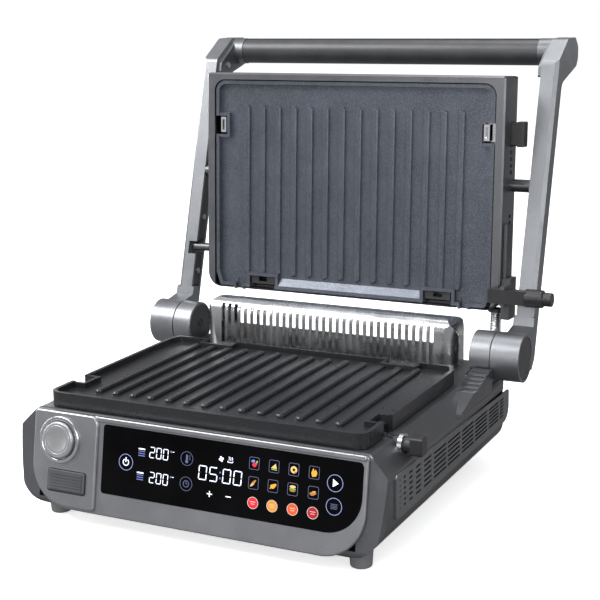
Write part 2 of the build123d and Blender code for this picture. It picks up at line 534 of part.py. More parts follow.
def back_cover(i, d0, d1):
    """domed back cover, i = wall inset"""
    o = on_xz(poly([(-W2 + i, i), (W2 - i, i), (W2 - i, LID_H - i), (-W2 + i, LID_H - i)], [15 - i, 15 - i, 3.5, 3.5]), d0, d1 + 1)
    side = on_yz(poly([(d0, i), (d1, i), (d1, LID_H - i), (d0, LID_H - i)], [0, 14, 14, 0]), -W2, W2)
    plan = on_xy(poly([(-W2 + i, d0), (W2 - i, d0), (W2 - i, d1), (-W2 + i, d1)], [0, 0, 14, 14]), -5, LID_H + 5)
    return o & side & plan


bk = back_cover(0, LID_DEPTH + 0.02, LID_BACK) - back_cover(2.5, LID_DEPTH - 2, LID_BACK - 2.5)
put("lid_shell", lid(bk))

up = Rot(90, 0, 0) * cook_plate(True)          # cooking side now faces -Y, plate depth runs along +Z
# the hooked edge of the plate is the lower one
up = Rot(0, 180, 0) * up
up = Rot(0, 0, 0) * up
bbu = up.bounding_box()
up = Pos(0, 1.2 - bbu.min.Y, -1.0 - bbu.min.Z) * up
put("upper_plate", lid(up))
refl = on_xz(rrect(-146, 146, 8, 214, 6), 21.5, 30.0) - on_xz(rrect(-144.8, 144.8, 9.2, 212.8, 5), 15, 28.8)
put("upper_reflector", lid(refl))
el2 = Rot(90, 0, 0) * element(0, 20, 190, 0.0, 4.6)
bb2 = el2.bounding_box()
el2 = Pos(0, 25.2 - (bb2.min.Y + bb2.max.Y) / 2, 112 - (bb2.min.Z + bb2.max.Z) / 2) * el2
put("upper_element", lid(el2))
put("upper_element_clips", [lid(bx(-106, 106, 27.55, 28.75, kk - 3, kk + 3)) for kk in (70, 160)])

LN = 216.7 + 4.4
def ulatch(s):
    k0 = 2.0 + PLATE_D - 45.5
    a = bx(s * 140.6, s * 146.4, 2.4, 18, k0 - 7.8, k0 + 7.8) - bx(s * 142.2, s * 144.8, 0, 13, k0 - 5.4, k0 + 5.4)
    a += bx(s * 140.6, s * 148.0, 16, 18, k0 - 9, k0 + 9)
    return a


put("upper_latches", [lid(ulatch(1)), lid(ulatch(-1))])
uh = []
for s in (1, -1):
    h = bx(s * 84, s * 110.5, 3.6, 20, 6.2, 8.8) + bx(s * 84, s * 92.5, 3.6, 6.0, 6.2, 13.6) + bx(s * 102, s * 110.5, 3.6, 6.0, 6.2, 13.6)
    uh.append(lid(h))
put("upper_plate_hooks", uh)

lp = lid(cylx(6.2, W2 + 0.02, ARM_X0 - 0.3, PIN_D, PIN_K) + cylx(3.4, ARM_X0 - 0.4, ARM_X1 - 5.2, PIN_D, PIN_K) + cylx(2.4, W2 - 6, W2 + 0.1, PIN_D, PIN_K))
rp = mir(lp)
put("lid_pivot_pins", [lp, rp])
lim = lid(cylx(LIMIT_R, -(ARM_X0 + 4.5), -W2 - 0.02, LIMIT_D, LIMIT_K) + cylx(2.1, -W2 - 0.1, -W2 + 6, LIMIT_D, LIMIT_K))
put("lid_limit_pin", lim)

# upper release button with its collar
ub = bx(W2 - 6, W2 + 10.5, 21.2, 32.0, 158.2, 180.8)
ub = fillet(ub.edges().filter_by(Axis.X), 1.5)
ub += bx(W2 + 6.5, W2 + 13.2, 20.4, 32.8, 157.4, 181.6)
ub = fillet(ub.edges().filter_by(lambda e: abs(e.center().X - W2 - 13.2) < 0.01), 1.2)
put("upper_release_button", lid(ub))

# lower release button, its collar and head
lb = cylx(6.3, 158.5, 175, 43, 92)
hd = bx(173.8, 184.5, 36.8, 49.2, 84.4, 99.6)
hd = fillet(hd.edges().filter_by(Axis.X), 2.0)
lb = lb + hd
lb = fillet(lb.edges().filter_by(lambda e: abs(e.center().X - 184.5) < 0.01), 1.0)
put("lower_release_button", lb)
cl = (cylx(8.7, 163.8, 167.4, 43, 92) - cylx(6.6, 150, 175, 43, 92)) - OUTER
cl = max(cl.solids(), key=lambda q: q.volume)
put("release_button_collar", cl)

# ---------------------------------------------------------------- stepped rack of the height adjuster
RX0, RX1 = 157.0, 175.2
prof = [(154, 82), (239.8, 82), (239.8, 103.4), (229.0, 103.4)]
for i in range(5):                                    # five notches, rising towards the hinge
    y1, z1 = 229.0 - 7.8 * i, 102.2 - 1.8 * i
    prof += [(y1, z1), (y1 - 7.8, z1)]
prof += [(154, 84.4)]
rack = on_yz(poly(prof), RX0, RX1)
rack = rack - OUTER
rack = max(rack.solids(), key=lambda q: q.volume)
put("step_rack", rack)
rs = cylz(1.8, DECK_Z + 0.02, DECK_Z + 0.9, 154.6, 228) if False else cylz(2.2, DECK_Z + 0.02, DECK_Z + 1.0, 154.2, 231) - bx(152, 157, 230.7, 231.3, DECK_Z + 0.5, 100)
put("rack_screw", rs)

# slide rail on the lid and the lever that runs on it
rail = bx(W2 + 0.02, W2 + 2.2, 9, 19, 4, 84) + bx(W2 + 2.1, W2 + 4.0, 6.5, 21.5, 4, 84)
put("adjuster_rail", lid(rail))
car = bx(W2 + 0.6, W2 + 9.0, 4.0, 24.0, -8.0, 32.0)
car -= bx(W2 - 1, W2 + 2.5, 8.7, 19.3, -20, 60)
car -= bx(W2 + 1.8, W2 + 4.3, 6.2, 21.8, -20, 60)
car += bx(W2 + 4.6, W2 + 9.0, -13.3, 4.1, 8.0, 27.0)
put("adjuster_carriage", lid(car))
lv = bx(155.0, 190.0, -13.4, -4.2, 11.0, 24.2) - bx(W2 + 4.5, W2 + 9.1, -14, 5, 5, 30)
lvb = bx(155.0, 190.0, -13.4, -4.2, 11.0, 24.2)
lvb = fillet(lvb.edges().filter_by(Axis.X), 1.5)
lv = lvb - bx(W2 + 4.5, W2 + 9.1, -14, 5, 5, 30)
kn = cylx(8.6, 190.0, 208.0, -8.8, 17.6)
kn = chamfer(kn.edges().filter_by(GeomType.CIRCLE), 1.0)
kt = cylx(6.6, 207.9, 216.6, -8.8, 17.6)
kt = fillet(kt.edges().filter_by(GeomType.CIRCLE).sort_by(Axis.X)[-1], 1.2)
lever = bx(155.0, 166.0, -13.4, -4.2, 11.0, 24.2) + bx(170.6, 192.0, -13.4, -4.2, 11.0, 24.2) + kn + kt
lever += bx(165.9, 170.7, -16.0, -13.6, 11.0, 24.2) + bx(155.0, 192.0, -16.0, -13.35, 11.0, 24.2)
put("adjuster_lever", lid(lever))

# ---------------------------------------------------------------- wiring conduit with its glands
GX, GY = CONDUIT_BASE
g1 = (cylz(8.0, 84.02, 87.2, GX, GY) + cylz(7.2, 79, 84.1, GX, GY)) - cylz(CONDUIT_R + 1.1, 70, 95, GX, GY)
put("conduit_gland_base", g1)
ly, lz = lid_pt(18.0, 0.0)
LGX = 153.5
g2 = cylz(8.2, -3.2, -0.02, LGX, 18.0) - cylz(CONDUIT_R + 1.2, -10, 8, LGX, 18.0)
put("conduit_gland_lid", lid(g2))
zt = lid_pt(18.0, 0.0)
cpath = FilletPolyline((GX, GY, 79.0), (GX, GY, 89.0), (160.5, 298.0, 103.0), (156.5, 304.0, 119.0), (LGX, 313.5, 131.0), (LGX, zt[0], zt[1] - 0.6),
                       radius=[14, 26, 40, 16])
csec = Plane(origin=cpath @ 0, z_dir=cpath % 0) * Circle(CONDUIT_R)
conduit = sweep(csec, path=cpath)
print("conduit length", round(cpath.length, 1), "volume", round(conduit.volume), "expected", round(math.pi * CONDUIT_R ** 2 * cpath.length))
put("wiring_conduit", conduit)

for n, so in NODES.items():
    comp = Compound(children=[]) if False else (so[0] if len(so) == 1 else Compound(so))
    export_step(comp, f"parts/{n}.step")
print(len(NODES), "nodes")
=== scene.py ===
import bpy, bmesh, math
from mathutils import Vector, Matrix

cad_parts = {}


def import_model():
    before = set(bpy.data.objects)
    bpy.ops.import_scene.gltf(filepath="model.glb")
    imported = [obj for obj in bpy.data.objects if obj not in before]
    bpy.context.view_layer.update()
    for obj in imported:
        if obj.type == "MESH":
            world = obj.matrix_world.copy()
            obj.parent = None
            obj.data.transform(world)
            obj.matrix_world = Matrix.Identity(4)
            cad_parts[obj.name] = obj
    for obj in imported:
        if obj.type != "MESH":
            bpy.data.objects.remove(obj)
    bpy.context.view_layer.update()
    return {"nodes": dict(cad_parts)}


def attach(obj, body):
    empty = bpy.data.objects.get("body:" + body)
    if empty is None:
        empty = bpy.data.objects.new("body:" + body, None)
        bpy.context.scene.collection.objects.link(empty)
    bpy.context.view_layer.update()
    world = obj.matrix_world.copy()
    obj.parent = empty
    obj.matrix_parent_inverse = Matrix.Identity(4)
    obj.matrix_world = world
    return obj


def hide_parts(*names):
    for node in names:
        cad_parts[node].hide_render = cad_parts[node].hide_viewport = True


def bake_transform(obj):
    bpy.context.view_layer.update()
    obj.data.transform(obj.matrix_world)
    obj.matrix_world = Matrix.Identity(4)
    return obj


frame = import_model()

NODES = frame["nodes"]
OX, OY = -8.6, -204.5            # shift between the appliance axes and the row frame, mm


def P(x, y, z):
    """appliance millimetres to row-frame metres"""
    return Vector(((x + OX) / 1000.0, (y + OY) / 1000.0, z / 1000.0))


# ------------------------------------------------------------------ planes of the tilted control face and of the lid
TILT = math.radians(10.0)
LEAN = math.radians(3.1)


def F(x, d, k):
    """control-face frame (x, depth, height) in mm to row metres"""
    return P(x, -20.5 + d * math.cos(TILT) + k * math.sin(TILT), 15.0 - d * math.sin(TILT) + k * math.cos(TILT))


def L(x, d, k):
    """lid frame (x, depth, height) in mm to row metres"""
    return P(x, 298.3 + d * math.cos(LEAN) + k * math.sin(LEAN), 144.2 - d * math.sin(LEAN) + k * math.cos(LEAN))


# ------------------------------------------------------------------ material helpers
class NT:
    def __init__(self, name):
        self.m = bpy.data.materials.new(name)
        self.m.use_nodes = True
        self.t = self.m.node_tree
        self.t.nodes.clear()
        self.out = self.n("ShaderNodeOutputMaterial")
        self.b = self.n("ShaderNodeBsdfPrincipled")
        self.t.links.new(self.b.outputs[0], self.out.inputs[0])

    def n(self, kind, **kw):
        q = self.t.nodes.new(kind)
        for k, v in kw.items():
            setattr(q, k, v)
        return q

    def link(self, a, b):
        self.t.links.new(a, b)

    def coord(self, scale=(1, 1, 1)):
        c = self.n("ShaderNodeTexCoord")
        mp = self.n("ShaderNodeMapping")
        mp.inputs["Scale"].default_value = scale
        self.link(c.outputs["Object"], mp.inputs["Vector"])
        return mp.outputs[0]

    def noise(self, scale, detail=2.0, rough=0.5, vec=None, stretch=None):
        q = self.n("ShaderNodeTexNoise")
        q.inputs["Scale"].default_value = scale
        q.inputs["Detail"].default_value = detail
        q.inputs["Roughness"].default_value = rough
        self.link(vec if vec is not None else self.coord(stretch or (1, 1, 1)), q.inputs["Vector"])
        return q.outputs["Fac"]

    def ramp(self, fac, stops):
        q = self.n("ShaderNodeValToRGB")
        while len(q.color_ramp.elements) < len(stops):
            q.color_ramp.elements.new(0.5)
        for e, (p, c) in zip(q.color_ramp.elements, stops):
            e.position = p
            e.color = (c[0], c[1], c[2], 1.0) if isinstance(c, (tuple, list)) else (c, c, c, 1.0)
        self.link(fac, q.inputs[0])
        return q.outputs[0]

    def mixc(self, a, b, fac):
        q = self.n("ShaderNodeMix", data_type="RGBA")
        for s, v in ((q.inputs[6], a), (q.inputs[7], b)):
            if isinstance(v, (tuple, list)):
                s.default_value = (v[0], v[1], v[2], 1)
            else:
                self.link(v, s)
        if isinstance(fac, (int, float)):
            q.inputs[0].default_value = fac
        else:
            self.link(fac, q.inputs[0])
        return q.outputs[2]

    def bump(self, height, strength=0.1, dist=0.0005, prev=None):
        q = self.n("ShaderNodeBump")
        q.inputs["Strength"].default_value = strength
        q.inputs["Distance"].default_value = dist
        self.link(height, q.inputs["Height"])
        if prev is not None:
            self.link(prev, q.inputs["Normal"])
        self.link(q.outputs[0], self.b.inputs["Normal"])
        return q.outputs[0]

    def set(self, **kw):
        names = {"rough": "Roughness", "metal": "Metallic", "coat": "Coat Weight", "coat_rough": "Coat Roughness", "ior": "IOR",
                 "aniso": "Anisotropic", "spec": "Specular IOR Level", "alpha": "Alpha", "trans": "Transmission Weight", "emit": "Emission Strength"}
        for k, v in kw.items():
            self.b.inputs[names[k]].default_value = v

    def base(self, c):
        if isinstance(c, (tuple, list)):
            self.b.inputs["Base Color"].default_value = (c[0], c[1], c[2], 1)
        else:
            self.link(c, self.b.inputs["Base Color"])

    def rough(self, r):
        self.link(r, self.b.inputs["Roughness"])


def metallic_paint(name, dark, light, rough=0.36, metal=0.8, flake=0.05, coat=0.25):
    """fine-flake metallic paint: large soft tone changes, tiny flakes, faint orange peel, slightly rougher patches"""
    t = NT(name)
    flakes = t.noise(5200, 0.0, 0.5)
    big = t.noise(14, 3.0, 0.55)
    tone = t.mixc(t.ramp(big, [(0.30, dark), (0.72, light)]), t.ramp(flakes, [(0.42, tuple(c * 0.72 for c in dark)), (0.62, tuple(min(1, c * 1.35) for c in light))]), 0.35)
    t.base(tone)
    t.rough(t.ramp(t.noise(60, 4.0, 0.6), [(0.3, rough - 0.05), (0.75, rough + 0.07)]))
    t.set(metal=metal, coat=coat, coat_rough=0.28)
    b1 = t.bump(t.noise(900, 1.0, 0.5), 0.06, 0.0004)
    t.bump(flakes, flake, 0.0003, b1)
    return t.m


def brushed(name, dark, light, rough=0.32, metal=1.0, stretch=(1, 60, 60), scale=60):
    t = NT(name)
    g = t.noise(scale, 6.0, 0.65, stretch=stretch)
    t.base(t.ramp(g, [(0.3, dark), (0.7, light)]))
    t.rough(t.ramp(g, [(0.25, rough - 0.08), (0.75, rough + 0.12)]))
    t.set(metal=metal, aniso=0.35)
    t.bump(g, 0.10, 0.0003)
    return t.m


def chrome(name, tint=(0.86, 0.87, 0.89), rough=0.10):
    t = NT(name)
    s = t.noise(35, 4.0, 0.6)
    f = t.noise(700, 2.0, 0.5)
    t.base(t.mixc(tint, tuple(c * 0.93 for c in tint), s))
    t.rough(t.ramp(s, [(0.3, rough * 0.6), (0.8, rough * 1.7)]))
    t.set(metal=1.0)
    b = t.bump(t.noise(22, 2.0, 0.5), 0.05, 0.0012)
    t.bump(f, 0.02, 0.0002, b)
    return t.m


def plastic(name, dark, light, rough=0.42, grain=900, strength=0.18, spec=0.5):
    t = NT(name)
    g = t.noise(grain, 3.0, 0.6)
    t.base(t.ramp(t.noise(45, 3.0, 0.5), [(0.3, dark), (0.75, light)]))
    t.rough(t.ramp(g, [(0.3, rough - 0.06), (0.8, rough + 0.10)]))
    t.set(metal=0.0, spec=spec)
    t.bump(g, strength, 0.0003)
    return t.m


def nonstick(name, base, fleck, amount=0.3, rough=0.50, coat=0.0, metal=0.0):
    """charcoal non-stick coating with pale mineral flecks and a fine orange-peel skin"""
    t = NT(name)
    v = t.n("ShaderNodeTexVoronoi")
    v.inputs["Scale"].default_value = 880
    t.link(t.coord(), v.inputs["Vector"])
    fl = t.ramp(v.outputs["Distance"], [(amount - 0.10, 1.0), (amount + 0.10, 0.0)])
    tone = t.ramp(t.noise(30, 4.0, 0.6), [(0.3, tuple(c * 0.85 for c in base)), (0.75, tuple(c * 1.2 for c in base))])
    t.base(t.mixc(tone, fleck, fl))
    t.rough(t.ramp(t.noise(160, 3.0, 0.6), [(0.3, rough - 0.03), (0.8, rough + 0.05)]))
    t.set(metal=metal, spec=0.55, coat=coat, coat_rough=0.22)
    b = t.bump(t.noise(1100, 2.0, 0.6), 0.06, 0.0003)
    t.bump(fl, 0.05, 0.0003, b)
    return t.m


def emissive(name, col, strength=2.4):
    t = NT(name)
    n = t.noise(1200, 1.0, 0.5)
    c = t.ramp(n, [(0.2, tuple(x * 0.88 for x in col)), (0.8, col)])
    t.base(tuple(x * 0.4 for x in col))
    t.link(c, t.b.inputs["Emission Color"])
    t.set(emit=strength, rough=0.3)
    return t.m


M = {}
M["body"] = metallic_paint("body_paint", (0.105, 0.107, 0.115), (0.150, 0.153, 0.163), rough=0.36, metal=0.85, coat=0.15)
M["fascia"] = metallic_paint("fascia_paint", (0.265, 0.270, 0.284), (0.345, 0.352, 0.366), rough=0.34, metal=0.9, coat=0.12)
M["vent"] = metallic_paint("vent_panel_paint", (0.175, 0.179, 0.188), (0.230, 0.234, 0.245), rough=0.38, metal=0.85, coat=0.1)
M["lid"] = metallic_paint("lid_paint", (0.135, 0.139, 0.148), (0.185, 0.190, 0.201), rough=0.34, metal=0.88, coat=0.15)
M["arm"] = metallic_paint("arm_satin_silver", (0.205, 0.212, 0.225), (0.265, 0.273, 0.288), rough=0.40, metal=0.9, coat=0.03)
M["drum"] = metallic_paint("drum_satin_silver", (0.215, 0.221, 0.232), (0.285, 0.291, 0.305), rough=0.38, metal=0.9, coat=0.05)
M["bracket"] = metallic_paint("bracket_satin", (0.15, 0.155, 0.163), (0.20, 0.205, 0.215), rough=0.42, metal=0.9, coat=0.03)
M["lower_coat"] = nonstick("lower_plate_coating", (0.012, 0.0125, 0.014), (0.034, 0.036, 0.040), amount=0.26, rough=0.30, coat=0.12, metal=0.15)
M["upper_coat"] = nonstick("upper_plate_coating", (0.075, 0.083, 0.104), (0.165, 0.180, 0.220), amount=0.30, rough=0.36, coat=0.06, metal=0.5)
M["chrome"] = chrome("polished_chrome")
M["chrome_soft"] = chrome("soft_chrome", (0.60, 0.61, 0.63), 0.18)
M["hood"] = chrome("satin_hood_steel", (0.56, 0.57, 0.585), 0.24)
M["steel"] = brushed("brushed_steel", (0.42, 0.43, 0.44), (0.62, 0.63, 0.64))
M["steel_dark"] = brushed("dark_steel", (0.10, 0.102, 0.106), (0.17, 0.173, 0.178), rough=0.40)
M["alu"] = brushed("rolled_aluminium", (0.55, 0.56, 0.57), (0.72, 0.73, 0.74), rough=0.28)
M["element"] = brushed("heater_sheath", (0.09, 0.08, 0.075), (0.20, 0.17, 0.15), rough=0.45)
M["black"] = plastic("black_moulding", (0.010, 0.010, 0.011), (0.020, 0.020, 0.022), rough=0.38, spec=0.55)
M["grip"] = plastic("grip_moulding", (0.026, 0.027, 0.030), (0.040, 0.041, 0.045), rough=0.40, grain=1400, strength=0.25, spec=0.6)
M["grey"] = plastic("grey_moulding", (0.055, 0.057, 0.061), (0.080, 0.082, 0.087), rough=0.42)
M["button"] = metallic_paint("button_face", (0.36, 0.364, 0.374), (0.43, 0.435, 0.445), rough=0.30, metal=0.75, coat=0.3)
M["rubber"] = plastic("foot_rubber", (0.15, 0.152, 0.157), (0.21, 0.212, 0.218), rough=0.60, grain=1600, strength=0.3)
M["strip"] = metallic_paint("arm_cover_grey", (0.060, 0.062, 0.065), (0.090, 0.092, 0.097), rough=0.42, metal=0.7, coat=0.0)
M["handle_strip"] = brushed("handle_strip_steel", (0.15, 0.155, 0.165), (0.25, 0.255, 0.268), rough=0.34)
M["brass"] = brushed("jack_brass", (0.50, 0.36, 0.14), (0.72, 0.54, 0.24), rough=0.3)
M["board"] = plastic("circuit_board", (0.010, 0.06, 0.025), (0.02, 0.10, 0.04), rough=0.45, grain=300, strength=0.4)


def glass_mat():
    """black printed glass: near-black body, clear coat, faint dust and fingerprint variation in the gloss"""
    t = NT("display_black_glass")
    n = t.noise(25, 5.0, 0.6)
    t.base(t.ramp(n, [(0.3, (0.0015, 0.0015, 0.0018)), (0.8, (0.0035, 0.0035, 0.004))]))
    t.rough(t.ramp(t.noise(60, 5.0, 0.65), [(0.3, 0.10), (0.8, 0.19)]))
    t.set(metal=0.0, spec=0.04, coat=0.02, coat_rough=0.05)
    t.bump(t.noise(400, 2.0, 0.5), 0.015, 0.0002)
    return t.m


M["glass"] = glass_mat()


def braid_mat():
    t = NT("corrugated_conduit")
    n = t.noise(120, 4.0, 0.6)
    t.base(t.ramp(n, [(0.3, (0.62, 0.63, 0.65)), (0.8, (0.80, 0.81, 0.83))]))
    t.rough(t.ramp(n, [(0.3, 0.16), (0.8, 0.30)]))
    t.set(metal=1.0)
    t.bump(t.noise(900, 2.0, 0.5), 0.1, 0.0003)
    return t.m


M["braid"] = braid_mat()


def mesh_sheet_mat():
    """perforated filter sheet: a fine staggered grid of holes in bright steel; the holes are not cut through, each is
    a near-black, matt, non-metal dot of painted shade
    """
    t = NT("perforated_filter")
    c = t.n("ShaderNodeTexCoord")
    sep = t.n("ShaderNodeSeparateXYZ")
    t.link(c.outputs["Object"], sep.inputs[0])

    def math_(op, a, b=None):
        q = t.n("ShaderNodeMath", operation=op)
        for i, v in enumerate((a, b)):
            if v is None:
                continue
            if isinstance(v, (int, float)):
                q.inputs[i].default_value = v
            else:
                t.link(v, q.inputs[i])
        return q.outputs[0]

    pitch = 0.0016
    u = math_("DIVIDE", sep.outputs[0], pitch)
    v = math_("DIVIDE", sep.outputs[2], pitch * 0.866)
    row = math_("FLOOR", v)
    odd = math_("MULTIPLY", math_("MODULO", math_("ABSOLUTE", row), 2.0), 0.5)
    fu = math_("SUBTRACT", math_("FRACT", math_("ADD", math_("ADD", u, odd), 1000.0)), 0.5)
    fv = math_("SUBTRACT", math_("FRACT", math_("ADD", v, 1000.0)), 0.5)
    r2 = math_("ADD", math_("MULTIPLY", fu, fu), math_("MULTIPLY", fv, fv))
    hole = math_("LESS_THAN", r2, 0.085)
    # painted shade: the hole dots get a near-black colour in place of the dark space that a real hole shows
    t.base(t.mixc((0.62, 0.63, 0.64), (0.006, 0.006, 0.006), hole))
    rr = t.mixc((0.30, 0.30, 0.30), (0.95, 0.95, 0.95), hole)
    t.link(rr, t.b.inputs["Roughness"])
    mm = t.mixc((1, 1, 1), (0, 0, 0), hole)
    t.link(mm, t.b.inputs["Metallic"])
    t.bump(mm, 0.3, 0.0004)
    return t.m


M["filter"] = mesh_sheet_mat()

NODE_MAT = {
    "base_housing": "body", "bottom_cover": "steel_dark", "feet": "rubber", "front_fascia": "fascia", "display_glass": "glass",
    "fan_button_bezel": "chrome_soft", "fan_button": "button", "probe_port_cover": "grey", "probe_port_well": "black", "probe_jack": "brass",
    "control_board": "board", "side_vent_panels": "vent", "rear_grille": "black", "power_inlet": "black", "lower_reflector": "alu",
    "tray_posts": "steel", "lower_element": "element", "element_brackets": "alu", "lower_plate": "lower_coat", "lower_latches": "chrome",
    "rear_plate_hooks": "steel_dark", "smoke_hood": "hood", "filter_mesh": "filter", "fan_impeller": "steel", "fan_bearings": "steel",
    "fan_motor": "steel_dark", "hinge_drums": "drum", "drum_faces": "strip", "hinge_shafts": "steel", "arm_right": "arm", "arm_left": "arm",
    "arm_cover_strips": "strip", "arm_cover_screws": "steel", "drum_caps": "strip", "handle_grip": "grip", "handle_strip": "handle_strip",
    "handle_brackets": "bracket", "bracket_screws": "steel", "lid_frame": "lid", "lid_shell": "lid", "upper_plate": "upper_coat",
    "upper_reflector": "alu", "upper_element": "element", "upper_element_clips": "alu", "upper_latches": "chrome", "upper_plate_hooks": "black",
    "lid_pivot_pins": "steel_dark", "lid_limit_pin": "steel_dark", "upper_release_button": "black", "lower_release_button": "black",
    "release_button_collar": "chrome_soft", "step_rack": "body", "rack_screw": "steel", "adjuster_rail": "steel_dark",
    "adjuster_carriage": "grey", "adjuster_lever": "black", "conduit_gland_base": "black", "conduit_gland_lid": "black", "wiring_conduit": "braid",
}
BEVEL = {"base_housing": 1.0, "front_fascia": 0.5, "lid_frame": 0.7, "lid_shell": 0.8, "arm_right": 0.8, "arm_left": 0.8, "hinge_drums": 0.0,
         "lower_plate": 0.5, "upper_plate": 0.5, "smoke_hood": 0.0, "adjuster_lever": 0.5, "adjuster_carriage": 0.4, "handle_brackets": 0.6,
         "lower_release_button": 0.4, "step_rack": 0.3, "lower_latches": 0.25, "upper_latches": 0.25, "upper_plate_hooks": 0.3, "rear_plate_hooks": 0.3}


def assign(o, m):
    if not o.material_slots:
        o.data.materials.append(m)
    for s in o.material_slots:
        s.material = m


for n, o in NODES.items():
    assign(o, M[NODE_MAT[n]])
    w = BEVEL.get(n, 0.0)
    if w:
        b = o.modifiers.new("edge", "BEVEL")
        b.width = w / 1000.0
        b.segments = 2
        b.limit_method = "ANGLE"
        b.angle_limit = math.radians(38)
        b.harden_normals = True
        b.use_clamp_overlap = True


# ------------------------------------------------------------------ mesh helpers
def obj(name, verts, faces, mat, body, smooth=False):
    me = bpy.data.meshes.new(name)
    me.from_pydata([tuple(v) for v in verts], [], faces)
    me.validate()
    me.update()
    if smooth:
        for p in me.polygons:
            p.use_smooth = True
    o = bpy.data.objects.new(name, me)
    bpy.context.scene.collection.objects.link(o)
    me.materials.append(mat)
    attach(o, body)
    return o


class Acc:
    """collects many small shapes of one material into one mesh"""

    def __init__(self):
        self.v, self.f = [], []

    def add(self, verts, faces):
        b = len(self.v)
        self.v += [Vector(q) for q in verts]
        self.f += [tuple(b + i for i in fc) for fc in faces]

    def prism(self, pts2, to3, d0, d1):
        """closed 2D outline (counter-clockwise), extruded between depths d0 (front) and d1"""
        n = len(pts2)
        v = [to3(x, d0, y) for x, y in pts2] + [to3(x, d1, y) for x, y in pts2]
        f = [tuple(range(n)), tuple(range(2 * n - 1, n - 1, -1))]
        f += [(i, n + i, n + (i + 1) % n, (i + 1) % n) for i in range(n)]
        self.add(v, f)

    def ring(self, outer, inner, to3, d0, d1):
        n = len(outer)
        v = [to3(x, d0, y) for x, y in outer] + [to3(x, d0, y) for x, y in inner]
        v += [to3(x, d1, y) for x, y in outer] + [to3(x, d1, y) for x, y in inner]
        f = []
        for i in range(n):
            j = (i + 1) % n
            f.append((i, j, n + j, n + i))
            f.append((2 * n + i, 3 * n + i, 3 * n + j, 2 * n + j))
            f.append((i, 2 * n + i, 2 * n + j, j))
            f.append((n + i, n + j, 3 * n + j, 3 * n + i))
        self.add(v, f)

    def make(self, name, mat, body, smooth=False):
        return obj(name, self.v, self.f, mat, body, smooth)


def circle(cx, cy, r, n=40, a0=0.0):
    return [(cx + r * math.cos(a0 + 2 * math.pi * i / n), cy + r * math.sin(a0 + 2 * math.pi * i / n)) for i in range(n)]


def rrect(x0, x1, y0, y1, r, n=6):
    out = []
    for cx, cy, a in ((x1 - r, y0 + r, -90), (x1 - r, y1 - r, 0), (x0 + r, y1 - r, 90), (x0 + r, y0 + r, 180)):
        for i in range(n + 1):
            t = math.radians(a + 90.0 * i / n)
            out.append((cx + r * math.cos(t), cy + r * math.sin(t)))
    return out


def stroke(a, b, w):
    dx, dy = b[0] - a[0], b[1] - a[1]
    l = math.hypot(dx, dy)
    nx, ny = -dy / l * w / 2, dx / l * w / 2
    return [(a[0] - nx, a[1] - ny), (b[0] - nx, b[1] - ny), (b[0] + nx, b[1] + ny), (a[0] + nx, a[1] + ny)]


# ------------------------------------------------------------------ display graphics behind the glass surface
GD0, GD1 = -3.42, -3.32          # just proud of the glass front
white, blue, ringw = Acc(), Acc(), Acc()


def seg7(acc, x, y, w, h, ch, t, slant=0.04):
    s = {"0": "abcdef", "2": "abged", "5": "afgcd"}[ch]
    m = y + h / 2
    g = t * 0.62
    def q(px_, py_):
        return (px_ + (py_ - y) * slant, py_)
    pts = {"a": [q(x + g, y + h), q(x + w - g, y + h), q(x + w - g - t, y + h - t), q(x + g + t, y + h - t)],
           "d": [q(x + g + t, y + t), q(x + w - g - t, y + t), q(x + w - g, y), q(x + g, y)],
           "g": [q(x + g + t * 0.3, m), q(x + g + t, m + t / 2), q(x + w - g - t, m + t / 2), q(x + w - g - t * 0.3, m), q(x + w - g - t, m - t / 2), q(x + g + t, m - t / 2)],
           "f": [q(x, m + g), q(x, y + h - g), q(x + t, y + h - g - t), q(x + t, m + g + t * 0.3)],
           "b": [q(x + w, y + h - g), q(x + w, m + g), q(x + w - t, m + g + t * 0.3), q(x + w - t, y + h - g - t)],
           "e": [q(x, y + g), q(x, m - g), q(x + t, m - g - t * 0.3), q(x + t, y + g + t)],
           "c": [q(x + w, m - g), q(x + w, y + g), q(x + w - t, y + g + t), q(x + w - t, m - g - t * 0.3)]}
    for c in s:
        acc.prism(pts[c][::-1] if c in "a" else pts[c], F, GD0, GD1)


# two temperature read-outs
for (x0, y0) in ((-39.5, 54.9), (-38.6, 33.9)):
    for i, ch in enumerate("200"):
        seg7(white, x0 + i * 6.6, y0, 5.0, 9.3, ch, 0.62)
# degree marks and level bars
for (x0, y0) in ((-18.4, 62.6), (-17.6, 41.6)):
    ringw.ring(circle(x0, y0, 0.75, 16), circle(x0, y0, 0.4, 16), F, GD0, GD1)
    white.prism(stroke((x0 + 1.3, y0), (x0 + 2.9, y0), 0.45), F, GD0, GD1)
for (x0, y0, hi) in ((-50.3, 61.2, 0), (-50.8, 41.0, 0)):
    for j in range(4):
        (white if j == hi else blue).prism(stroke((x0, y0 - j * 1.9), (x0 + 6.4, y0 - j * 1.9), 0.75 if j != hi else 1.0), F, GD0, GD1)
# time read-out
for i, ch in enumerate("0500"):
    seg7(white, 8.4 + i * 10.1 + (2.4 if i > 1 else 0), 43.6, 7.7, 12.0, ch, 0.78)
for yy in (47.2, 52.0):
    blue.prism(rrect(28.2, 29.6, yy - 0.7, yy + 0.7, 0.3, 3), F, GD0, GD1)
# power symbol
ringw.ring(circle(-62.3, 48.0, 7.0, 56), circle(-62.3, 48.0, 6.55, 56), F, GD0, GD1)
a = [(-62.3 + 3.1 * math.cos(math.radians(t)), 48.0 + 3.1 * math.sin(math.radians(t))) for t in range(125, 416, 10)]
b = [(-62.3 + 2.35 * math.cos(math.radians(t)), 48.0 + 2.35 * math.sin(math.radians(t))) for t in range(125, 416, 10)]
for i in range(len(a) - 1):
    white.prism([a[i], b[i], b[i + 1], a[i + 1]], F, GD0, GD1)
white.prism(stroke((-62.3, 48.2), (-62.3, 52.1), 0.8), F, GD0, GD1)
